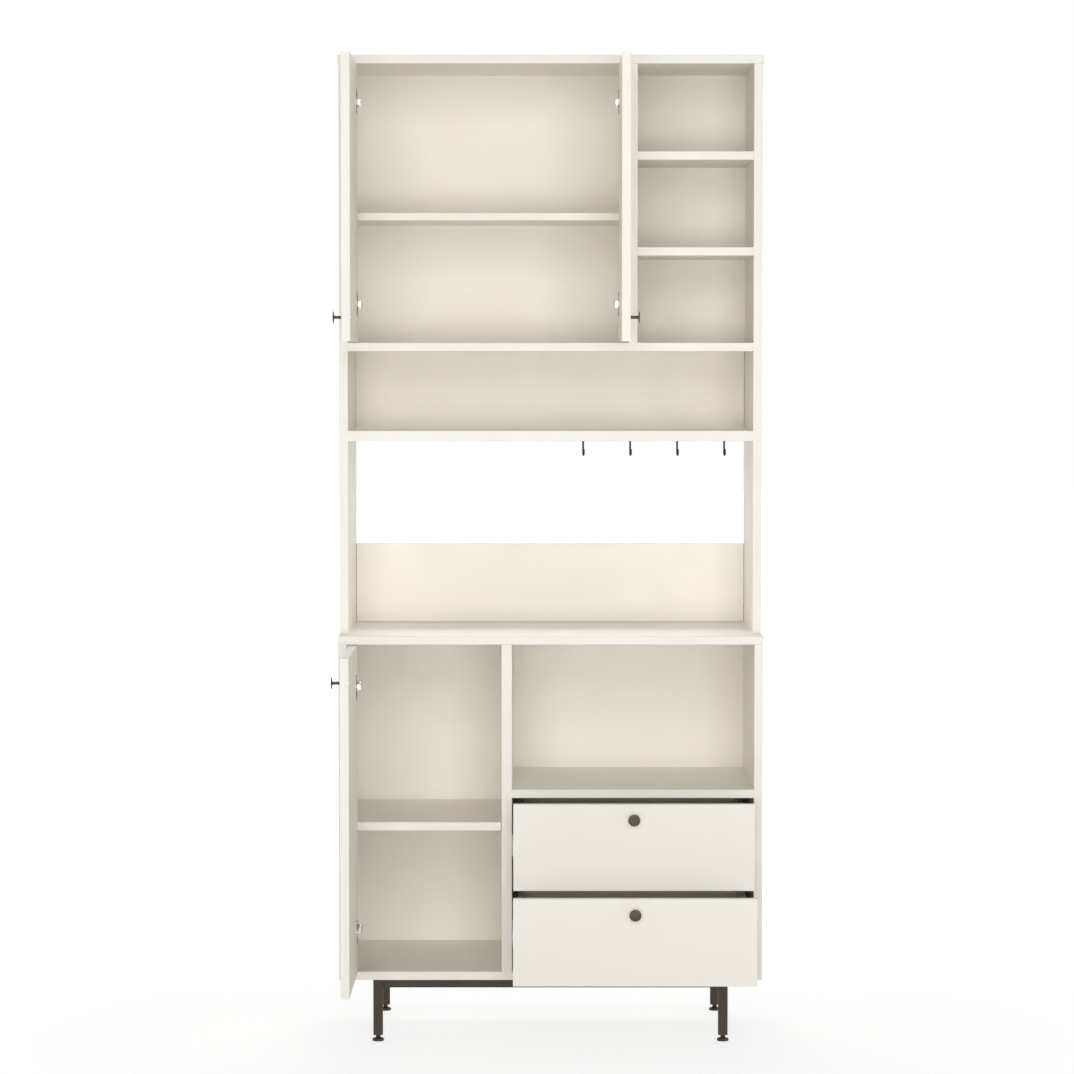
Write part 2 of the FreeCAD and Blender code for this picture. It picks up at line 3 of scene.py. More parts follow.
import bmesh
import bpy
from bpy.props import FloatProperty, FloatVectorProperty, IntProperty, PointerProperty
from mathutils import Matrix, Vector


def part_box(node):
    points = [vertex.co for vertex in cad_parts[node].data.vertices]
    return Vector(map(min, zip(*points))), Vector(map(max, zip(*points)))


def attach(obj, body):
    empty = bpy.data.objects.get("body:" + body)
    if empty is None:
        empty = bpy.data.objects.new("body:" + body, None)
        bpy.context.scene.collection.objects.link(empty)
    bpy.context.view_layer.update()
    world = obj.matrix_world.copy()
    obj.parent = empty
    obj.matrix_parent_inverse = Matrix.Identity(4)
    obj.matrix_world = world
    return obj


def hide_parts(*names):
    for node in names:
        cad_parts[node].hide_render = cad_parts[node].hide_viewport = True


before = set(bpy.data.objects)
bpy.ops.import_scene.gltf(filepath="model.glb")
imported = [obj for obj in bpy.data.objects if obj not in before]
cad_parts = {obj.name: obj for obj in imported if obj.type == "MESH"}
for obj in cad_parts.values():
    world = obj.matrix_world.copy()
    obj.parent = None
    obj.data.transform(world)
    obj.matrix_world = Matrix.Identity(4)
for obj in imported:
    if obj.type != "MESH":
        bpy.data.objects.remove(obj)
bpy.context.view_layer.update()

bl_info = {
    "name": "Kitchen cabinet looks",
    "version": (1, 0, 0),
    "blender": (4, 5, 0),
    "location": "3D View > Sidebar > Cabinet",
    "description": "Finishes and fine fittings of a tall kitchen cabinet with a hutch",
    "category": "Object",
}

MM = 0.001
UP = Vector((0, 0, 1))
DOWN = Vector((0, 0, -1))
FRONT = Vector((0, -1, 0))
REAR = Vector((0, 1, 0))
LEFT = Vector((-1, 0, 0))
RIGHT = Vector((1, 0, 0))

# Thickness of the boards and of the drawers' sides, and how far a cutter runs past a piece.
PANEL = 0.018
DRAWER_SIDE = 0.012
OVERRUN = 0.010
BEECH = (0.62, 0.43, 0.26, 1)
BEECH_GRAIN = (0.50, 0.32, 0.18, 1)

DOORS = ("upper_left", "upper_right", "base")
DRAWERS = ("upper", "lower")
CORNERS = ("front_left", "front_right", "rear_left", "rear_right")
BASE_BOARDS = (
    "base_side_left", "base_side_right", "base_floor", "base_divider", "niche_shelf", "base_shelf",
    "base_back", "worktop")
HUTCH_BOARDS = (
    "hutch_side_left", "hutch_side_right", "hutch_divider", "cupboard_floor", "cupboard_shelf",
    "column_shelf_lower", "column_shelf_upper", "top_panel", "hook_shelf", "splashback", "niche_back",
    "upper_back")


def box_middle(node):
    low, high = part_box(node)
    return (low + high) / 2


class CabinetFinishes(bpy.types.PropertyGroup):
    """Colours and gloss of the cabinet's surfaces."""
    cream: FloatVectorProperty(
        name="Cream lacquer", description="Colour of the boards, doors and drawer fronts",
        subtype="COLOR", size=4, min=0, max=1, default=(0.945, 0.916, 0.856, 1))
    cream_shade: FloatVectorProperty(
        name="Cream drift", description="Warmer tone that the lacquer drifts to",
        subtype="COLOR", size=4, min=0, max=1, default=(0.935, 0.900, 0.832, 1))
    drawer_board: FloatVectorProperty(
        name="Drawer board", description="Colour of the drawer boxes and bottoms",
        subtype="COLOR", size=4, min=0, max=1, default=(0.790, 0.752, 0.672, 1))
    dark_steel: FloatVectorProperty(
        name="Dark steel", description="Powder coat of the leg frame",
        subtype="COLOR", size=4, min=0, max=1, default=(0.064, 0.047, 0.031, 1))
    black_metal: FloatVectorProperty(
        name="Knob coat", description="Dark coat of the knobs",
        subtype="COLOR", size=4, min=0, max=1, default=(0.108, 0.083, 0.056, 1))
    hook_coat: FloatVectorProperty(
        name="Hook coat", description="Black coat of the wire hooks",
        subtype="COLOR", size=4, min=0, max=1, default=(0.016, 0.014, 0.011, 1))
    black_plastic: FloatVectorProperty(
        name="Black plastic", description="Feet and leg plugs",
        subtype="COLOR", size=4, min=0, max=1, default=(0.040, 0.036, 0.031, 1))
    nickel: FloatVectorProperty(
        name="Nickel", description="Plate of the hinges, cams and pins",
        subtype="COLOR", size=4, min=0, max=1, default=(0.760, 0.748, 0.716, 1))
    zinc: FloatVectorProperty(
        name="Zinc", description="Plate of the drawer runners",
        subtype="COLOR", size=4, min=0, max=1, default=(0.640, 0.655, 0.668, 1))
    lacquer_gloss: FloatProperty(
        name="Lacquer roughness", description="Mean roughness of the cream lacquer",
        subtype="FACTOR", min=0, max=1, default=0.40)


class CabinetFittings(bpy.types.PropertyGroup):
    """Sizes of the fittings that are modelled here."""
    knob_diameter: FloatProperty(
        name="Knob diameter", description="Width of a knob's disc",
        unit="LENGTH", min=0.01, max=0.05, default=0.025)
    knob_projection: FloatProperty(
        name="Knob projection", description="How far a knob stands off its board",
        unit="LENGTH", min=0.01, max=0.04, default=0.0195)
    hook_wire: FloatProperty(
        name="Hook wire", description="Thickness of a hook's wire",
        unit="LENGTH", min=0.002, max=0.006, default=0.0040)
    screw_head: FloatProperty(
        name="Screw head", description="Width of the hinge and runner screws' heads",
        unit="LENGTH", min=0.004, max=0.01, default=0.0066)
    tube_corner: FloatProperty(
        name="Tube corner", description="Outer corner radius of the leg frame's tube",
        unit="LENGTH", min=0.0005, max=0.004, default=0.0020)
    turning_segments: IntProperty(
        name="Turning segments", description="Sides of the turned pieces",
        min=24, max=96, default=64)


class CabinetStage(bpy.types.PropertyGroup):
    """Camera and light of the picture."""
    lens: FloatProperty(
        name="Lens", description="Focal length on a 36 mm sensor, in millimetres",
        min=20, max=300, default=113.325)
    camera_place: FloatVectorProperty(
        name="Camera place", description="Where the camera stands", subtype="XYZ", unit="LENGTH",
        size=3, default=(-0.0201, -7.1775, 1.4592))
    camera_tilt: FloatProperty(
        name="Camera tilt", description="How far the camera looks down",
        subtype="ANGLE", unit="ROTATION", min=-1, max=1, default=math.radians(3.035))
    camera_shift: FloatVectorProperty(
        name="Camera shift", description="Sideways and upward shift of the lens, as shares of the frame",
        size=2, default=(-0.0038, 0.0))
    sky: FloatProperty(
        name="Sky light", description="Strength of the even light from all round",
        min=0, max=3, default=0.21)


def finishes():
    return bpy.context.scene.cabinet_finishes


def fittings():
    return bpy.context.scene.cabinet_fittings


def deselect():
    if bpy.context.mode != "OBJECT":
        bpy.ops.object.mode_set(mode="OBJECT")
    bpy.ops.object.select_all(action="DESELECT")


def activate(*pieces):
    deselect()
    for piece in pieces:
        piece.select_set(True)
    bpy.context.view_layer.objects.active = pieces[0]


def named(name):
    piece = bpy.context.active_object
    piece.name = name
    piece.data.name = name
    return piece


def settle(piece):
    """Put the piece's place and turn into its mesh."""
    activate(piece)
    bpy.ops.object.transform_apply(location=True, rotation=True, scale=True)
    return piece


def tidy_mesh(piece, angle=35):
    """Merge doubles, point the faces outwards and smooth the shallow edges."""
    activate(piece)
    bpy.ops.object.mode_set(mode="EDIT")
    bpy.ops.mesh.select_all(action="SELECT")
    bpy.ops.mesh.remove_doubles(threshold=1e-6)
    bpy.ops.mesh.normals_make_consistent(inside=False)
    bpy.ops.object.mode_set(mode="OBJECT")
    bpy.ops.object.shade_smooth_by_angle(angle=math.radians(angle))
    return piece


def select_faces(piece, wanted):
    """In edit mode, select the faces whose middle and normal pass the test."""
    bpy.ops.mesh.select_mode(type="FACE")
    bpy.ops.mesh.select_all(action="DESELECT")
    mesh = bmesh.from_edit_mesh(piece.data)
    for face in mesh.faces:
        face.select_set(wanted(face.calc_center_median(), face.normal))
    bmesh.update_edit_mesh(piece.data)


def select_edges(piece, wanted):
    """In edit mode, select the edges whose two ends pass the test."""
    bpy.ops.mesh.select_mode(type="EDGE")
    bpy.ops.mesh.select_all(action="DESELECT")
    mesh = bmesh.from_edit_mesh(piece.data)
    for edge in mesh.edges:
        edge.select_set(wanted(edge.verts[0].co, edge.verts[1].co))
    bmesh.update_edit_mesh(piece.data)


def turn(name, bands, segments=None):
    """Turned piece along +Z: a disc, extruded and resized from band to band of (radius, height) in mm."""
    deselect()
    radius, height = bands[0]
    bpy.ops.mesh.primitive_circle_add(
        vertices=segments or fittings().turning_segments, radius=radius * MM, fill_type="NGON",
        location=(0, 0, height * MM))
    piece = settle(named(name))
    bpy.ops.object.mode_set(mode="EDIT")
    bpy.ops.mesh.select_all(action="SELECT")
    for radius_next, height_next in bands[1:]:
        rise = (height_next - height) * MM
        bpy.ops.mesh.extrude_region_move(TRANSFORM_OT_translate={"value": (0, 0, rise)})
        factor = radius_next / radius
        bpy.ops.transform.resize(value=(factor, factor, 1), center_override=(0, 0, height_next * MM))
        radius, height = radius_next, height_next
    return tidy_mesh(piece)


def bar(name, low, high, radius=0.0):
    """Box between two corners, its edges rounded."""
    deselect()
    low, high = Vector(low), Vector(high)
    bpy.ops.mesh.primitive_cube_add(size=1, location=(low + high) / 2, scale=high - low)
    piece = settle(named(name))
    if radius:
        modify(piece, "BEVEL", width=radius, segments=3, limit_method="NONE")
    return piece


def modify(piece, kind, **values):
    """Add a modifier with these values and apply it."""
    activate(piece)
    bpy.ops.object.modifier_add(type=kind)
    modifier = piece.modifiers[-1]
    for key, value in values.items():
        setattr(modifier, key, value)
    bpy.ops.object.modifier_apply(modifier=modifier.name)


def cut(piece, cutter):
    """Take the cutter's shape out of the piece."""
    modify(piece, "BOOLEAN", operation="DIFFERENCE", object=cutter, solver="EXACT")
    bpy.data.objects.remove(cutter)
    return piece


def stand(piece, place, direction=UP):
    """Turn a piece modelled along +Z to a direction and move it to its place."""
    piece.rotation_euler = UP.rotation_difference(Vector(direction)).to_euler()
    piece.location = place
    return settle(piece)


def copy_of(piece, name):
    """Copy with its own mesh."""
    twin = piece.copy()
    twin.data = piece.data.copy()
    twin.name = name
    twin.data.name = name
    bpy.context.collection.objects.link(twin)
    return twin


def join(name, pieces):
    activate(*pieces)
    bpy.ops.object.join()
    return named(name)


def scatter(name, master, places, direction=UP):
    """Copies of a master at these places, as one piece."""
    return join(name, [stand(copy_of(master, name + "_copy"), place, direction) for place in places])


def shares_between(low, high, shares):
    """Places at these shares of the way between two ends."""
    return [low + share * (high - low) for share in shares]


def drop(piece):
    bpy.data.objects.remove(piece)


def dress(piece, material, body, slot, *nodes):
    """Give a new piece its finish and its body, and hide the nodes that it stands for."""
    piece.data.materials.clear()
    piece.data.materials.append(material)
    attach(piece, body)
    if nodes:
        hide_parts(*nodes)


def paint(nodes, material):
    """Give a finish to nodes whose shape is kept."""
    for node in nodes:
        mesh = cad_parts[node].data
        mesh.materials.clear()
        mesh.materials.append(material)


def new_group(name, inputs, outputs):
    """Shader node group with its sockets, its ends and its tree."""
    tree = bpy.data.node_groups.new(name, "ShaderNodeTree")
    for label, kind, value in inputs:
        socket = tree.interface.new_socket(label, in_out="INPUT", socket_type=kind)
        socket.default_value = value
    for label, kind in outputs:
        tree.interface.new_socket(label, in_out="OUTPUT", socket_type=kind)
    return tree, tree.nodes.new("NodeGroupInput"), tree.nodes.new("NodeGroupOutput")


def object_noise(tree, scale_socket, detail, stretch=None):
    """Noise on Object coordinates, stretched along an axis where one is given."""
    place = tree.nodes.new("ShaderNodeTexCoord")
    noise = tree.nodes.new("ShaderNodeTexNoise")
    noise.inputs["Detail"].default_value = detail
    source = place.outputs["Object"]
    if stretch:
        mapping = tree.nodes.new("ShaderNodeMapping")
        mapping.inputs["Scale"].default_value = stretch
        tree.links.new(source, mapping.inputs["Vector"])
        source = mapping.outputs["Vector"]
    tree.links.new(source, noise.inputs["Vector"])
    tree.links.new(scale_socket, noise.inputs["Scale"])
    return noise.outputs["Fac"]


def map_range(tree, value, start, end):
    """Map range node over the span from a start to an end."""
    spread = tree.nodes.new("ShaderNodeMapRange")
    spread.inputs["From Min"].default_value = start
    spread.inputs["From Max"].default_value = end
    tree.links.new(value, spread.inputs["Value"])
    return spread


def colour_drift_group():
    """Slow drift between two colours over the surface."""
    colour = "NodeSocketColor"
    number = "NodeSocketFloat"
    tree, start, end = new_group(
        "colour_drift",
        [("Colour", colour, (1, 1, 1, 1)), ("Drift", colour, (0, 0, 0, 1)), ("Scale", number, 3.0)],
        [("Colour", colour)])
    noise = object_noise(tree, start.outputs["Scale"], detail=4.0)
    spread = map_range(tree, noise, 0.3, 0.7)
    blend = tree.nodes.new("ShaderNodeMix")
    blend.data_type = "RGBA"
    tree.links.new(spread.outputs["Result"], blend.inputs["Factor"])
    tree.links.new(start.outputs["Colour"], blend.inputs["A"])
    tree.links.new(start.outputs["Drift"], blend.inputs["B"])
    tree.links.new(blend.outputs["Result"], end.inputs["Colour"])


def gloss_drift_group():
    """Roughness that wanders between two values, as on a wiped surface."""
    number = "NodeSocketFloat"
    tree, start, end = new_group(
        "gloss_drift", [("Low", number, 0.3), ("High", number, 0.5), ("Scale", number, 20.0)],
        [("Roughness", number)])
    noise = object_noise(tree, start.outputs["Scale"], detail=5.0)
    spread = map_range(tree, noise, 0.25, 0.75)
    tree.links.new(start.outputs["Low"], spread.inputs["To Min"])
    tree.links.new(start.outputs["High"], spread.inputs["To Max"])
    tree.links.new(spread.outputs["Result"], end.inputs["Roughness"])


def fine_bump_group(name, stretch=None):
    """Small height texture of a coat, or of a brushed sheet where it is stretched."""
    number = "NodeSocketFloat"
    tree, start, end = new_group(
        name, [("Scale", number, 800.0), ("Strength", number, 0.2), ("Distance", number, 0.0001)],
        [("Normal", "NodeSocketVector")])
    noise = object_noise(tree, start.outputs["Scale"], detail=2.0, stretch=stretch)
    bump = tree.nodes.new("ShaderNodeBump")
    tree.links.new(noise, bump.inputs["Height"])
    tree.links.new(start.outputs["Strength"], bump.inputs["Strength"])
    tree.links.new(start.outputs["Distance"], bump.inputs["Distance"])
    tree.links.new(bump.outputs["Normal"], end.inputs["Normal"])


def placed_group(tree, group, **values):
    node = tree.nodes.new("ShaderNodeGroup")
    node.node_tree = bpy.data.node_groups[group]
    for label, value in values.items():
        node.inputs[label].default_value = value
    return node


def finish_material(name, colour, drift, drift_scale, gloss, gloss_scale, bump, bump_values, **sockets):
    """Material with drifting colour and gloss and a fine bump.

    The gloss is a low and a high roughness, and the bump's values are its scale, strength and distance.
    Plain values go on the shader's own sockets.
    """
    material = bpy.data.materials.new(name)
    material.use_nodes = True
    tree = material.node_tree
    shader = tree.nodes["Principled BSDF"]
    tone = placed_group(tree, "colour_drift", Colour=colour, Drift=drift, Scale=drift_scale)
    tree.links.new(tone.outputs["Colour"], shader.inputs["Base Color"])
    wipe = placed_group(tree, "gloss_drift", Low=gloss[0], High=gloss[1], Scale=gloss_scale)
    tree.links.new(wipe.outputs["Roughness"], shader.inputs["Roughness"])
    scale, strength, distance = bump_values
    grain = placed_group(tree, bump, Scale=scale, Strength=strength, Distance=distance)
    tree.links.new(grain.outputs["Normal"], shader.inputs["Normal"])
    for label, value in sockets.items():
        shader.inputs[label.replace("_", " ")].default_value = value
    return material


def dimmed(colour, factor):
    return tuple(c * factor for c in colour[:3]) + (1.0,)


def make_finishes():
    """Groups and materials that the pieces share."""
    colour_drift_group()
    gloss_drift_group()
    fine_bump_group("coat_bump")
    fine_bump_group("brushed_bump", stretch=(1.0, 1.0, 0.04))
    f = finishes()
    g = f.lacquer_gloss
    finish_material("cream_lacquer", f.cream, f.cream_shade, 2.2, (g - 0.06, g + 0.07), 14.0,
                    "coat_bump", (700.0, 0.28, 0.0001), Specular_IOR_Level=0.42)
    finish_material("drawer_melamine", f.drawer_board, dimmed(f.drawer_board, 0.95), 6.0, (0.5, 0.66), 30.0,
                    "coat_bump", (1500.0, 0.22, 0.0001), Specular_IOR_Level=0.35)
    finish_material("dark_powder_coat", f.dark_steel, dimmed(f.dark_steel, 0.78), 16.0, (0.42, 0.58), 60.0,
                    "coat_bump", (2600.0, 0.35, 0.0002), Specular_IOR_Level=0.30)
    finish_material("black_satin", f.black_metal, dimmed(f.black_metal, 0.80), 60.0, (0.34, 0.48), 150.0,
                    "coat_bump", (3200.0, 0.16, 0.0001), Specular_IOR_Level=0.25)
    finish_material("hook_black", f.hook_coat, dimmed(f.hook_coat, 0.72), 80.0, (0.40, 0.54), 200.0,
                    "coat_bump", (3200.0, 0.20, 0.0001), Specular_IOR_Level=0.18)
    finish_material("black_moulding", f.black_plastic, dimmed(f.black_plastic, 0.8), 70.0, (0.45, 0.6),
                    120.0, "coat_bump", (2200.0, 0.30, 0.0002), Specular_IOR_Level=0.45)
    finish_material("nickel_plate", f.nickel, dimmed(f.nickel, 0.90), 45.0, (0.18, 0.30), 180.0,
                    "brushed_bump", (2400.0, 0.12, 0.0001), Metallic=1.0)
    # Flange nickel darkened to near black with a dull edge tint: painted shade for the shadowed gap beside
    # the hinge cup.
    finish_material("painted_shade_nickel", dimmed(f.nickel, 0.26), dimmed(f.nickel, 0.20), 45.0, (0.34, 0.48), 180.0,
                    "brushed_bump", (2400.0, 0.12, 0.0001), Metallic=1.0,
                    Specular_Tint=(0.10, 0.09, 0.09, 1))
    finish_material("zinc_plate", f.zinc, dimmed(f.zinc, 0.86), 55.0, (0.26, 0.42), 90.0,
                    "coat_bump", (900.0, 0.10, 0.0001), Metallic=1.0)
    finish_material("beech", BEECH, BEECH_GRAIN, 40.0, (0.55, 0.7), 60.0,
                    "brushed_bump", (900.0, 0.35, 0.0002), Specular_IOR_Level=0.3)


def finish(name):
    return bpy.data.materials[name]


def cross_slot(piece, wing, slit, floor, top):
    """Cut a cross recess into a piece that stands along +Z, from a top above it down to a floor."""
    for long, wide in ((wing, slit), (slit, wing)):
        cut(piece, bar("slot", (-long, -wide, floor), (long, wide, top)))
    return tidy_mesh(piece)


def screw_head(name, width):
    """Domed screw head along +Z with a cross recess, its seat at the origin."""
    r = width / MM / 2
    dome = [(r, -0.4), (r, 0.4), (r * 0.94, 0.9), (r * 0.74, 1.35), (r * 0.42, 1.6)]
    head = turn(name, dome, segments=28)
    return cross_slot(head, wing=r * 0.62 * MM, slit=r * 0.13 * MM, floor=0.5 * MM, top=4 * MM)


def cam_lock(name):
    """Disc of a cam lock along +Z with a cross slot, its board's face at the origin."""
    disc = turn(name, [(7.6, -3.0), (7.6, 0.1), (7.35, 0.35), (4.0, 0.35)], segments=40)
    return cross_slot(disc, wing=0.0036, slit=0.0008, floor=-0.0020, top=0.0020)


class CABINET_OT_boards(bpy.types.Operator):
    """Finish the boards, the door leaves, the drawer fronts and the drawer bottoms"""
    bl_idname = "cabinet.boards"
    bl_label = "Boards"

    def execute(self, context):
        paint(BASE_BOARDS + HUTCH_BOARDS, finish("cream_lacquer"))
        paint([door + "_door" for door in DOORS], finish("cream_lacquer"))
        paint([drawer + "_drawer_front" for drawer in DRAWERS], finish("cream_lacquer"))
        paint([drawer + "_drawer_bottom" for drawer in DRAWERS], finish("drawer_melamine"))
        paint(["dowels"], finish("beech"))
        return {"FINISHED"}


class CABINET_OT_drawer_boxes(bpy.types.Operator):
    """Sides and rear boards of the drawers, their edges eased and grooved for the bottoms"""
    bl_idname = "cabinet.drawer_boxes"
    bl_label = "Drawer boxes"

    ease = 0.0010
    groove = 0.005
    play = 0.0001

    def execute(self, context):
        for drawer in DRAWERS:
            node = drawer + "_drawer_box"
            low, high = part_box(node)
            left = low.x + DRAWER_SIDE
            right = high.x - DRAWER_SIDE
            rear = high.y - DRAWER_SIDE
            sheet_low, sheet_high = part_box(drawer + "_drawer_bottom")
            boards = [
                bar("side_left", low, (left, high.y, high.z), self.ease),
                bar("side_right", (right, low.y, low.z), high, self.ease),
                bar("rear", (left + self.play, rear, low.z), (right - self.play, high.y, high.z), self.ease)]
            for board in boards:
                slot_low = (left - self.groove, low.y - self.groove, sheet_low.z - self.play)
                slot_high = (right + self.groove, rear + self.groove, sheet_high.z + self.play)
                tidy_mesh(cut(board, bar("groove", slot_low, slot_high)), angle=40)
            boards = join(node + "_boards", boards)
            dress(boards, finish("drawer_melamine"), "drawer_" + drawer, "drawer_board", node)
        return {"FINISHED"}


class CABINET_OT_knobs(bpy.types.Operator):
    """Turn the lens-shaped knobs and their screws"""
    bl_idname = "cabinet.knobs"
    bl_label = "Knobs"

    screw_width = 0.008

    def execute(self, context):
        r = fittings().knob_diameter / MM / 2
        h = fittings().knob_projection / MM
        stem = [(4.4, 0), (4.4, 0.5), (4.0, 1.1), (3.4, 2.2), (3.2, 4.0), (3.2, h - 4.4), (3.4, h - 3.7)]
        disc = [(4.2, h - 3.2), (6.4, h - 2.8), (r - 1.2, h - 2.3), (r - 0.3, h - 2.0), (r, h - 1.5)]
        lens = [(r - 0.25, h - 1.0), (r - 1.2, h - 0.6), (r * 0.6, h - 0.2), (r * 0.25, h)]
        master = turn("knob_master", stem + disc + lens)
        screw = screw_head("knob_screw_master", self.screw_width)
        places = [(door + "_knob", "door_" + door) for door in DOORS]
        places += [(drawer + "_drawer_knob", "drawer_" + drawer) for drawer in DRAWERS]
        for node, body in places:
            low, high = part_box(node)
            seat = (low + high) / 2
            if body.startswith("drawer"):
                out = FRONT
                seat.y = low.y + h * MM
            elif node == "upper_right_knob":
                out = RIGHT
                seat.x = high.x - h * MM
            else:
                out = LEFT
                seat.x = low.x + h * MM
            knob = stand(copy_of(master, node + "_turned"), seat, out)
            dress(knob, finish("black_satin"), body, "black_metal", node)
            behind = stand(copy_of(screw, node + "_screw"), seat - out * PANEL, -out)
            dress(behind, finish("nickel_plate"), body, "nickel")
        drop(master)
        drop(screw)
        return {"FINISHED"}


class CABINET_OT_hooks(bpy.types.Operator):
    """Bend the wire hooks under the hook shelf"""
    bl_idname = "cabinet.hooks"
    bl_label = "Hooks"

    count = 4
    spacing = 0.101
    twist = math.radians(6)
    collar_radius = 0.0040
    bend_radius = 0.0065
    wire_start = 0.0005
    wire_sides = 20
    bend_steps = 18
    tip_rise = 0.0052
    tip_steps = ((0.0005, 0.92), (0.0004, 0.78), (0.0002, 0.6))

    def execute(self, context):
        low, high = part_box("hooks")
        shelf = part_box("hook_shelf")[0].z
        master = join("hook_master", [self.wire(low.z, shelf), self.collar(shelf)])
        for number in range(self.count):
            hook = copy_of(master, "hook_%d" % (number + 1))
            hook.rotation_euler.z = self.twist
            hook.location.x = low.x + self.collar_radius + self.spacing * number
            hook.location.y = high.y - self.collar_radius
            dress(settle(hook), finish("hook_black"), "carcass", "black_metal", "hooks")
        drop(master)
        return {"FINISHED"}

    def wire(self, lowest, shelf):
        """Wire that comes down from the shelf, turns back up and ends in a rounded tip."""
        r = fittings().hook_wire / 2
        top = shelf - self.wire_start
        z_bend = lowest + r + self.bend_radius
        deselect()
        bpy.ops.mesh.primitive_circle_add(
            vertices=self.wire_sides, radius=r, fill_type="NGON", location=(0, 0, top))
        wire = settle(named("hook_wire"))
        bpy.ops.object.mode_set(mode="EDIT")
        bpy.ops.mesh.select_all(action="SELECT")
        bpy.ops.mesh.extrude_region_move(TRANSFORM_OT_translate={"value": (0, 0, z_bend - top)})
        bpy.ops.mesh.spin(
            steps=self.bend_steps, angle=math.pi, center=(0, -self.bend_radius, z_bend), axis=(1, 0, 0))
        bpy.ops.mesh.extrude_region_move(TRANSFORM_OT_translate={"value": (0, 0, self.tip_rise)})
        for rise, factor in self.tip_steps:
            bpy.ops.mesh.extrude_region_move(TRANSFORM_OT_translate={"value": (0, 0, rise)})
            bpy.ops.transform.resize(value=(factor, factor, 1))
        return tidy_mesh(wire, angle=50)

    def collar(self, shelf):
        r = self.collar_radius / MM
        bands = [(r, 0), (r, 0.9), (r - 0.5, 1.5), (r - 1.6, 2.1), (r - 2.3, 2.9)]
        return stand(turn("hook_collar", bands, segments=32), (0, 0, shelf), DOWN)


class CABINET_OT_hinge_cups(bpy.types.Operator):
    """Hinge cups with their rims, flanges and screws, let into the open doors"""
    bl_idname = "cabinet.hinge_cups"
    bl_label = "Hinge cups"

    flange_thickness = 0.0007
    flange_half_length = 0.0255
    flange_near = 0.0168
    flange_far = 0.0120
    flange_corner = 0.006
    flange_rim = 0.0006
    flange_crown = 0.0001
    cup_opening = 0.0162
    screw_lift = 0.0008
    screw_back = 0.0095
    screw_half_pitch = 0.0205

    def execute(self, context):
        wall = [(17.4, -11.6), (17.4, 0)]
        rim = [(18.4, 0), (18.4, 0.45), (18.15, 0.66), (17.0, 0.68), (16.5, 0.4), (16.2, -0.6)]
        bowl = [(16.0, -9.6), (15.3, -10.5), (13.6, -10.8), (2.0, -10.8)]
        cup = turn("cup_master", wall + rim + bowl)
        flange = self.flange()
        screw = screw_head("cup_screw_master", fittings().screw_head)
        for door in DOORS:
            node = door + "_hinge_cups"
            body = "door_" + door
            low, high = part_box(node)
            out, face = RIGHT, high.x - self.flange_thickness
            if door == "upper_right":
                out, face = LEFT, low.x + self.flange_thickness
            heights = (low.z + self.flange_half_length, high.z - self.flange_half_length)
            middles = [Vector((face, low.y + self.flange_near, z)) for z in heights]
            dress(scatter(door + "_cups", cup, middles, out), finish("nickel_plate"), body, "nickel", node)
            # The flanges take the darkened nickel, which is painted shade for the gap beside the cup.
            flanges = scatter(door + "_cup_flanges", flange, middles, out)
            dress(flanges, finish("painted_shade_nickel"), body, "nickel", node)
            seats = []
            for middle in middles:
                for rise in (-self.screw_half_pitch, self.screw_half_pitch):
                    seats.append(middle + Vector((out.x * self.screw_lift, -self.screw_back, rise)))
            dress(scatter(door + "_cup_screws", screw, seats, out), finish("zinc_plate"), body, "nickel")
        for master in (cup, flange, screw):
            drop(master)
        return {"FINISHED"}

    def flange(self):
        """Stamped plate round the cup, its corners rounded, its edge eased and its middle open."""
        half = self.flange_half_length
        thickness = self.flange_thickness
        plate = bar("flange_master", (-half, -self.flange_near, 0), (half, self.flange_far, thickness))
        bpy.ops.object.mode_set(mode="EDIT")
        select_edges(plate, lambda a, b: abs(a.z - b.z) > thickness / 2)
        bpy.ops.mesh.bevel(offset=self.flange_corner, segments=6, affect="EDGES")
        select_faces(plate, lambda middle, normal: normal.z > 0.9)
        bpy.ops.mesh.inset(thickness=self.flange_rim)
        bpy.ops.transform.translate(value=(0, 0, self.flange_crown))
        deselect()
        bpy.ops.mesh.primitive_cylinder_add(
            vertices=fittings().turning_segments, radius=self.cup_opening, depth=OVERRUN)
        return tidy_mesh(cut(plate, named("flange_cutter")), angle=30)


class CABINET_OT_hinge_arms(bpy.types.Operator):
    """Finish the hinge plates, arms and links, and add their screws"""
    bl_idname = "cabinet.hinge_arms"
    bl_label = "Hinge arms"

    link_half_height = 0.006
    plate_face = 0.0026
    plate_row = 0.0595
    plate_half_pitch = 0.018
    arm_face = 0.0136
    arm_rows = (0.052, 0.071)

    def execute(self, context):
        paint(["hinge_plates", "hinge_arms"], finish("nickel_plate"))
        paint([door + "_hinge_links" for door in DOORS], finish("nickel_plate"))
        screw = screw_head("plate_screw_master", fittings().screw_head)
        hutch_low, hutch_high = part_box("hutch_side_left")
        divider_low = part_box("hutch_divider")[0]
        base_low, base_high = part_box("base_side_left")
        walls = {
            "upper_left": (hutch_high.x, RIGHT, hutch_low.y),
            "upper_right": (divider_low.x, LEFT, divider_low.y),
            "base": (base_high.x, RIGHT, base_low.y)}
        for door, (wall, inward, front) in walls.items():
            low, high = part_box(door + "_hinge_links")
            plate_x = wall + inward.x * self.plate_face
            arm_x = wall + inward.x * self.arm_face
            seats = []
            for z in (low.z + self.link_half_height, high.z - self.link_half_height):
                for rise in (-self.plate_half_pitch, self.plate_half_pitch):
                    seats.append(Vector((plate_x, front + self.plate_row, z + rise)))
                seats += [Vector((arm_x, front + row, z)) for row in self.arm_rows]
            screws = scatter(door + "_hinge_screws", screw, seats, inward)
            dress(screws, finish("zinc_plate"), "carcass", "nickel")
        drop(screw)
        return {"FINISHED"}


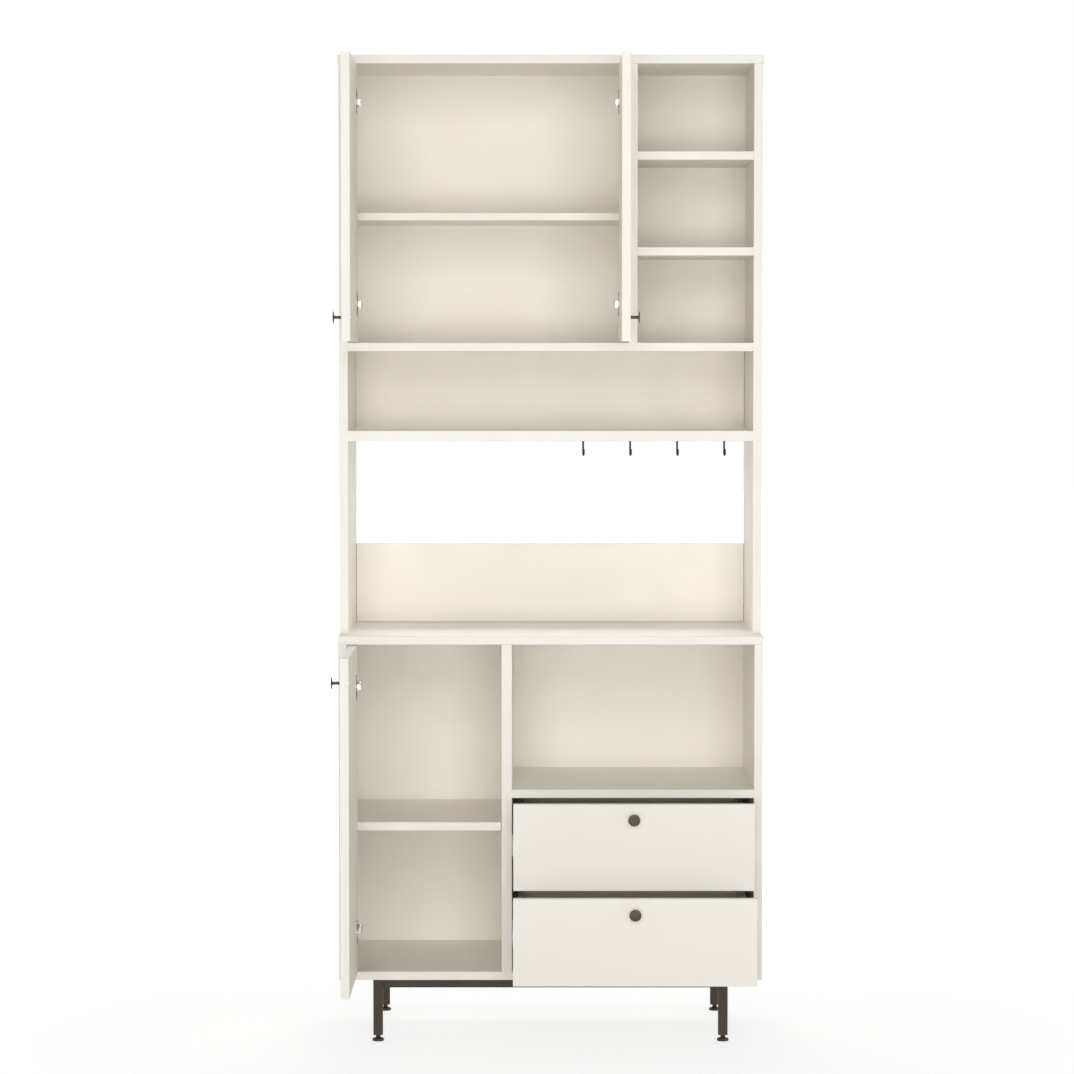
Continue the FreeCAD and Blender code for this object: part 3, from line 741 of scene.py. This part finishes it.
class CABINET_OT_runners(bpy.types.Operator):
    """Telescopic runners: members folded from sheet, with punched slots, and the screws that hold them"""
    bl_idname = "cabinet.runners"
    bl_label = "Runners"

    sheet = 0.0012
    channel_depth = 0.0087
    fold_radius = 0.0011
    slot_width = 0.0085
    slot_reach = 0.004
    middle_slots = ((0.060, 0.034), (0.175, 0.060), (0.290, 0.034))
    drawer_slots = ((0.070, 0.022), (0.135, 0.022), (0.235, 0.030))
    screw_rows = (0.030, 0.102, 0.185, 0.320)

    def execute(self, context):
        paint(["runner_cabinet_members"], finish("zinc_plate"))
        screw = screw_head("runner_screw_master", fittings().screw_head)
        for drawer in DRAWERS:
            middle = drawer + "_drawer_middle_members"
            inner = drawer + "_drawer_runner_members"
            self.pair(middle, "runner_middle_" + drawer, True, self.middle_slots)
            self.pair(inner, "drawer_" + drawer, False, self.drawer_slots)
            low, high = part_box(inner)
            box_low, box_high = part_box(drawer + "_drawer_box")
            z = (low.z + high.z) / 2
            heads = []
            for x, out in ((box_low.x - self.sheet, LEFT), (box_high.x + self.sheet, RIGHT)):
                places = [Vector((x, low.y + row, z)) for row in self.screw_rows]
                heads.append(scatter(drawer + "_heads", screw, places, out))
            screws = join(drawer + "_runner_screws", heads)
            dress(screws, finish("nickel_plate"), "drawer_" + drawer, "zinc")
        drop(screw)
        return {"FINISHED"}

    def pair(self, node, body, web_at_wall, slots):
        """Left and right member of one node, as one piece."""
        members = [self.member(node, side, web_at_wall, slots) for side in ("left", "right")]
        dress(join(node + "_folded", members), finish("zinc_plate"), body, "zinc", node)

    def member(self, node, side, web_at_wall, slots):
        """One member of a pair: a bar hollowed to a channel, its folds rounded and its web punched.

        Each slot is its distance from the front end and its length.
        """
        low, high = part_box(node)
        near, far = low.x, low.x + self.channel_depth
        if side == "right":
            near, far = high.x - self.channel_depth, high.x
        piece = bar("%s_%s" % (node, side), (near, low.y, low.z), (far, high.y, high.z))
        web, hollow_near, hollow_far = far, near - OVERRUN, far - self.sheet
        if (side == "left") == web_at_wall:
            web, hollow_near, hollow_far = near, near + self.sheet, far + OVERRUN
        cut(piece, bar("hollow", (hollow_near, low.y - OVERRUN, low.z + self.sheet),
                       (hollow_far, high.y + OVERRUN, high.z - self.sheet)))
        bpy.ops.object.mode_set(mode="EDIT")
        half_length = (high.y - low.y) / 2
        select_edges(piece, lambda a, b: abs(a.y - b.y) > half_length and self.on_web(web, a, b))
        bpy.ops.mesh.bevel(offset=self.fold_radius, segments=4, affect="EDGES")
        deselect()
        z = (low.z + high.z) / 2
        for row, length in slots:
            cut(piece, self.punch(web, low.y + row, z, length))
        return tidy_mesh(piece, angle=30)

    def on_web(self, web, *points):
        return all(abs(point.x - web) < 0.01 * MM for point in points)

    def punch(self, x, y, z, length):
        """Round-ended cutter across a web."""
        middle = Vector((x, y, z))
        half = Vector((self.slot_reach, length / 2, self.slot_width / 2))
        cutter = bar("punch", middle - half, middle + half)
        bpy.ops.object.mode_set(mode="EDIT")
        select_edges(cutter, lambda a, b: abs(a.x - b.x) > self.slot_reach)
        bpy.ops.mesh.bevel(offset=self.slot_width * 0.49, segments=6, affect="EDGES")
        deselect()
        return cutter


class CABINET_OT_screws(bpy.types.Operator):
    """Screws of the back sheets and the leg frame, and the cams that hold the drawer fronts"""
    bl_idname = "cabinet.screws"
    bl_label = "Screws"

    screw_width = 0.0074
    base_column = (0.05, 0.23, 0.41, 0.68, 0.95)
    base_row = (0.16, 0.38, 0.62, 0.86)
    hutch_column = (0.06, 0.28, 0.50, 0.72, 0.94)
    hutch_row = (0.30, 0.75)
    rail_places = (-0.300, -0.100, 0.100, 0.300)
    cam_from_front = 0.024
    cam_heights = (0.045, 0.110)

    def execute(self, context):
        screw = screw_head("sheet_screw_master", self.screw_width)
        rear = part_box("base_back")[1].y
        places = self.column("base_divider", rear, self.base_column)
        places += self.row("niche_shelf", rear, self.base_row)
        dress(scatter("base_back_screws", screw, places, REAR), finish("zinc_plate"), "carcass", "zinc")
        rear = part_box("upper_back")[1].y
        places = self.column("hutch_divider", rear, self.hutch_column)
        for shelf in ("column_shelf_lower", "column_shelf_upper"):
            places += self.row(shelf, rear, self.hutch_row)
        dress(scatter("upper_back_screws", screw, places, REAR), finish("zinc_plate"), "carcass", "zinc")
        places = []
        for rail in ("frame_front_rail", "frame_rear_rail"):
            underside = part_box(rail)[0].z
            places += [Vector((x, box_middle(rail).y, underside)) for x in self.rail_places]
        screws = scatter("frame_screws", screw, places, DOWN)
        dress(screws, finish("dark_powder_coat"), "carcass", "dark_steel")
        drop(screw)
        self.drawer_cams()
        return {"FINISHED"}

    def column(self, board, rear, shares):
        """Places on a rear face, one above the other along an upright board."""
        low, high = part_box(board)
        return [Vector((box_middle(board).x, rear, z)) for z in shares_between(low.z, high.z, shares)]

    def row(self, board, rear, shares):
        """Places on a rear face, side by side along a shelf."""
        low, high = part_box(board)
        return [Vector((x, rear, box_middle(board).z)) for x in shares_between(low.x, high.x, shares)]

    def drawer_cams(self):
        cam = cam_lock("drawer_cam_master")
        for drawer in DRAWERS:
            low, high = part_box(drawer + "_drawer_box")
            pieces = []
            for x, out in ((low.x + DRAWER_SIDE, RIGHT), (high.x - DRAWER_SIDE, LEFT)):
                places = [Vector((x, low.y + self.cam_from_front, low.z + z)) for z in self.cam_heights]
                pieces.append(scatter(drawer + "_cams", cam, places, out))
            cams = join(drawer + "_drawer_cams", pieces)
            dress(cams, finish("nickel_plate"), "drawer_" + drawer, "nickel")
        drop(cam)


class CABINET_OT_leg_frame(bpy.types.Operator):
    """Legs and rails of square tube with rounded corners"""
    bl_idname = "cabinet.leg_frame"
    bl_label = "Leg frame"

    tube_width = 0.020
    tube_wall = 0.0015
    open_depth = 0.016

    def execute(self, context):
        coat = finish("dark_powder_coat")
        low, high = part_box("legs")
        half = Vector((self.tube_width / 2, self.tube_width / 2, 0))
        legs = []
        for corner in CORNERS:
            middle = box_middle("foot_" + corner)
            base = Vector((middle.x, middle.y, low.z))
            leg = self.tube("leg_" + corner, base - half, base + half + UP * (high.z - low.z), 2)
            legs.append(self.opened(leg))
        dress(join("leg_tubes", legs), coat, "carcass", "dark_steel", "legs")
        for node in ("frame_front_rail", "frame_rear_rail"):
            rail = self.tube(node + "_tube", *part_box(node), 0)
            dress(rail, coat, "carcass", "dark_steel", node)
        low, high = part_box("frame_side_rails")
        sides = [
            self.tube("side_rail_left", low, (low.x + self.tube_width, high.y, high.z), 1),
            self.tube("side_rail_right", (high.x - self.tube_width, low.y, low.z), high, 1)]
        dress(join("side_rail_tubes", sides), coat, "carcass", "dark_steel", "frame_side_rails")
        paint(["leg_plugs"], finish("black_moulding"))
        return {"FINISHED"}

    def tube(self, name, low, high, along):
        """Square tube along one axis, closed at its ends."""
        piece = bar(name, low, high)
        bpy.ops.object.mode_set(mode="EDIT")
        select_edges(piece, lambda a, b: abs(a[along] - b[along]) > self.tube_width * 2)
        bpy.ops.mesh.bevel(offset=fittings().tube_corner, segments=5, affect="EDGES")
        return tidy_mesh(piece, angle=30)

    def opened(self, leg):
        """Open the lower end of a leg."""
        activate(leg)
        bpy.ops.object.mode_set(mode="EDIT")
        select_faces(leg, lambda middle, normal: normal.z < -0.9)
        bpy.ops.mesh.inset(thickness=self.tube_wall)
        bpy.ops.mesh.extrude_region_move(TRANSFORM_OT_translate={"value": (0, 0, self.open_depth)})
        return tidy_mesh(leg, angle=30)


class CABINET_OT_feet(bpy.types.Operator):
    """Turn the levelling feet with their nuts"""
    bl_idname = "cabinet.feet"
    bl_label = "Levelling feet"

    nut_ease = 0.0003

    def execute(self, context):
        sole = [(11.2, 0), (12.1, 0.3), (12.5, 1.0), (12.5, 4.0), (12.2, 4.9), (11.2, 5.6), (8.6, 6.3)]
        neck = [(6.2, 7.0), (5.2, 7.9), (4.4, 8.2), (4.0, 8.3)]
        stem = [(4.0, 20.0), (3.4, 21.0)]
        pad = turn("foot_master", sole + neck + stem)
        hexagon = [(4.2, 8.2), (5.2, 8.2), (5.7, 8.7), (5.7, 12.4), (5.2, 12.9), (4.1, 12.9)]
        nut = turn("foot_nut_master", hexagon, segments=6)
        modify(nut, "BEVEL", width=self.nut_ease, segments=2, limit_method="ANGLE")
        for corner in CORNERS:
            node = "foot_" + corner
            middle = box_middle(node)
            place = Vector((middle.x, middle.y, 0))
            body = "levelling_foot_" + corner
            foot = stand(copy_of(pad, node + "_turned"), place)
            dress(foot, finish("black_moulding"), body, "black_plastic", node)
            collar = stand(copy_of(nut, node + "_nut"), place)
            dress(collar, finish("dark_powder_coat"), body, "dark_steel")
        drop(pad)
        drop(nut)
        return {"FINISHED"}


class CABINET_OT_shelf_fittings(bpy.types.Operator):
    """Shelf pins and cam locks"""
    bl_idname = "cabinet.shelf_fittings"
    bl_label = "Shelf pins and cams"

    pin_radius = 0.0025
    pin_from_edge = 0.040
    cam_from_wall = 0.034
    cam_from_edge = 0.060

    def execute(self, context):
        self.shelf_pins()
        self.cam_locks()
        return {"FINISHED"}

    def shelf_pins(self):
        r = self.pin_radius / MM
        collar = [(r + 1.1, 0), (r + 1.1, 0.6), (r + 0.8, 0.9)]
        peg = [(r, 1.0), (r, 7.0), (r - 0.3, 7.6), (r - 1.1, 8.0)]
        pin = turn("pin_master", collar + peg, segments=32)
        rows = (("base_shelf", "base_side_left", "base_divider"),
                ("cupboard_shelf", "hutch_side_left", "hutch_divider"))
        pins = []
        for node, left_wall, right_wall in rows:
            low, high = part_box(node)
            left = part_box(left_wall)[1].x
            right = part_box(right_wall)[0].x
            for y in (low.y + self.pin_from_edge, high.y - self.pin_from_edge):
                for x, inward in ((left, RIGHT), (right, LEFT)):
                    place = Vector((x, y, low.z - self.pin_radius))
                    pins.append(stand(copy_of(pin, "pin_copy"), place, inward))
        dress(join("shelf_pins_turned", pins), finish("nickel_plate"), "carcass", "nickel", "shelf_pins")
        drop(pin)

    def cam_locks(self):
        cam = cam_lock("cam_master")
        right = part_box("base_side_right")[0].x
        niche_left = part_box("niche_shelf")[0].x
        base_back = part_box("base_back")[0].y
        hutch_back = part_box("splashback")[0].y
        rows = (("base_floor", -right, base_back), ("niche_shelf", niche_left, base_back),
                ("cupboard_floor", -right, hutch_back), ("hook_shelf", -right, hutch_back))
        places = []
        for node, left, back in rows:
            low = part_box(node)[0]
            for x in (left + self.cam_from_wall, right - self.cam_from_wall):
                for y in (low.y + self.cam_from_edge, back - self.cam_from_edge):
                    places.append(Vector((x, y, low.z)))
        cams = scatter("cam_locks_turned", cam, places, DOWN)
        dress(cams, finish("nickel_plate"), "carcass", "nickel", "cam_locks")
        drop(cam)


class CABINET_OT_stage(bpy.types.Operator):
    """Floor, light and camera of the picture"""
    bl_idname = "cabinet.stage"
    bl_label = "Stage"

    floor_size = 60
    floor_tone = (0.86, 0.86, 0.855, 1)
    floor_roughness = 0.9
    floor_gloss = 0.1
    shadow_start = 1.0
    shadow_end = 2.8
    glow_share_near = 0.66
    glow_strength = 1.18
    lamp_tint = (1.0, 0.988, 0.970)
    sky_tint = (1.0, 0.985, 0.965, 1)
    sensor_width = 36
    view_depth = 100
    # Each lamp is its name, place, target, size and power.
    lamps = (
        ("front_softbox", (0.3, -8.0, 1.6), (0, 0.1, 1.1), (4.0, 3.0), 52),
        ("high_softbox", (0.0, -6.5, 3.6), (0, 0.1, 1.1), (4.0, 2.0), 92),
        ("low_softbox", (0.0, -6.5, 0.75), (0, 0.1, 0.5), (4.0, 1.3), 100),
        ("rear_softbox", (0.0, 4.2, 4.2), (0, 0.2, 1.1), (4.0, 2.0), 150),
        ("left_softbox", (-6.0, -1.5, 2.2), (0, 0.1, 1.1), (3.0, 3.0), 64),
        ("right_softbox", (6.0, -1.5, 2.2), (0, 0.1, 1.1), (3.0, 3.0), 64))

    def execute(self, context):
        stage = context.scene.cabinet_stage
        self.floor()
        for lamp in self.lamps:
            self.light(*lamp)
        self.world(stage.sky)
        self.camera(stage)
        context.scene.view_settings.view_transform = "Standard"
        return {"FINISHED"}

    def floor(self):
        deselect()
        bpy.ops.mesh.primitive_plane_add(size=self.floor_size, location=(0, 0, 0))
        floor = named("floor")
        floor.data.materials.append(self.floor_material())

    def camera(self, stage):
        data = bpy.data.cameras.new("picture_camera")
        data.sensor_width = self.sensor_width
        data.lens = stage.lens
        data.shift_x, data.shift_y = stage.camera_shift
        data.clip_end = self.view_depth
        camera = bpy.data.objects.new("picture_camera", data)
        camera.location = stage.camera_place
        camera.rotation_euler = (math.pi / 2 - stage.camera_tilt, 0, 0)
        bpy.context.collection.objects.link(camera)
        bpy.context.scene.camera = camera

    def light(self, name, place, target, size, power):
        data = bpy.data.lights.new(name, "AREA")
        data.shape = "RECTANGLE"
        data.size, data.size_y = size
        data.energy = power
        data.color = self.lamp_tint
        lamp = bpy.data.objects.new(name, data)
        lamp.location = place
        lamp.rotation_euler = (Vector(target) - Vector(place)).to_track_quat("-Z", "Y").to_euler()
        bpy.context.collection.objects.link(lamp)

    def seen_ray(self, tree):
        """1 for rays that show the background: straight to the camera, in gloss or through glass."""
        path = tree.nodes.new("ShaderNodeLightPath")
        total = path.outputs["Is Camera Ray"]
        for label in ("Is Glossy Ray", "Is Transmission Ray"):
            either = tree.nodes.new("ShaderNodeMath")
            either.operation = "MAXIMUM"
            tree.links.new(total, either.inputs[0])
            tree.links.new(path.outputs[label], either.inputs[1])
            total = either.outputs["Value"]
        return total

    def floor_material(self):
        """Pale floor that is white to the camera and takes the object's shadow near it."""
        material = bpy.data.materials.new("pale_floor")
        material.use_nodes = True
        tree = material.node_tree
        shader = tree.nodes["Principled BSDF"]
        shader.inputs["Base Color"].default_value = self.floor_tone
        shader.inputs["Roughness"].default_value = self.floor_roughness
        shader.inputs["Specular IOR Level"].default_value = self.floor_gloss
        place = tree.nodes.new("ShaderNodeTexCoord")
        distance = tree.nodes.new("ShaderNodeVectorMath")
        distance.operation = "LENGTH"
        tree.links.new(place.outputs["Object"], distance.inputs[0])
        growth = map_range(tree, distance.outputs["Value"], self.shadow_start, self.shadow_end)
        growth.inputs["To Min"].default_value = self.glow_share_near
        share = tree.nodes.new("ShaderNodeMath")
        share.operation = "MULTIPLY"
        tree.links.new(self.seen_ray(tree), share.inputs[0])
        tree.links.new(growth.outputs["Result"], share.inputs[1])
        glow = tree.nodes.new("ShaderNodeEmission")
        glow.inputs["Strength"].default_value = self.glow_strength
        blend = tree.nodes.new("ShaderNodeMixShader")
        tree.links.new(share.outputs["Value"], blend.inputs["Fac"])
        tree.links.new(shader.outputs["BSDF"], blend.inputs[1])
        tree.links.new(glow.outputs["Emission"], blend.inputs[2])
        tree.links.new(blend.outputs["Shader"], tree.nodes["Material Output"].inputs["Surface"])
        return material

    def world(self, strength):
        world = bpy.data.worlds.new("studio")
        bpy.context.scene.world = world
        world.use_nodes = True
        tree = world.node_tree
        soft = tree.nodes["Background"]
        soft.inputs["Color"].default_value = self.sky_tint
        soft.inputs["Strength"].default_value = strength
        white = tree.nodes.new("ShaderNodeBackground")
        white.inputs["Color"].default_value = (1, 1, 1, 1)
        blend = tree.nodes.new("ShaderNodeMixShader")
        tree.links.new(self.seen_ray(tree), blend.inputs["Fac"])
        tree.links.new(soft.outputs["Background"], blend.inputs[1])
        tree.links.new(white.outputs["Background"], blend.inputs[2])
        tree.links.new(blend.outputs["Shader"], tree.nodes["World Output"].inputs["Surface"])


class CABINET_PT_panel(bpy.types.Panel):
    """Sidebar panel with the pieces and their values"""
    bl_idname = "CABINET_PT_panel"
    bl_label = "Kitchen cabinet"
    bl_space_type = "VIEW_3D"
    bl_region_type = "UI"
    bl_category = "Cabinet"

    def draw(self, context):
        for operator in OPERATORS:
            self.layout.operator(operator.bl_idname)
        scene = context.scene
        for group in (scene.cabinet_finishes, scene.cabinet_fittings, scene.cabinet_stage):
            box = self.layout.box()
            for key in group.__annotations__:
                box.prop(group, key)


OPERATORS = (
    CABINET_OT_boards, CABINET_OT_drawer_boxes, CABINET_OT_knobs, CABINET_OT_hooks, CABINET_OT_hinge_cups,
    CABINET_OT_hinge_arms, CABINET_OT_runners, CABINET_OT_leg_frame, CABINET_OT_feet,
    CABINET_OT_shelf_fittings, CABINET_OT_screws, CABINET_OT_stage)
GROUPS = (CabinetFinishes, CabinetFittings, CabinetStage)
CLASSES = GROUPS + OPERATORS + (CABINET_PT_panel,)


def register():
    for item in CLASSES:
        bpy.utils.register_class(item)
    bpy.types.Scene.cabinet_finishes = PointerProperty(type=CabinetFinishes)
    bpy.types.Scene.cabinet_fittings = PointerProperty(type=CabinetFittings)
    bpy.types.Scene.cabinet_stage = PointerProperty(type=CabinetStage)


def unregister():
    del bpy.types.Scene.cabinet_finishes
    del bpy.types.Scene.cabinet_fittings
    del bpy.types.Scene.cabinet_stage
    for item in reversed(CLASSES):
        bpy.utils.unregister_class(item)


def main():
    register()
    make_finishes()
    bpy.ops.cabinet.boards()
    bpy.ops.cabinet.drawer_boxes()
    bpy.ops.cabinet.knobs()
    bpy.ops.cabinet.hooks()
    bpy.ops.cabinet.hinge_cups()
    bpy.ops.cabinet.hinge_arms()
    bpy.ops.cabinet.runners()
    bpy.ops.cabinet.leg_frame()
    bpy.ops.cabinet.feet()
    bpy.ops.cabinet.shelf_fittings()
    bpy.ops.cabinet.screws()
    bpy.ops.cabinet.stage()


if __name__ == "__main__":
    main()
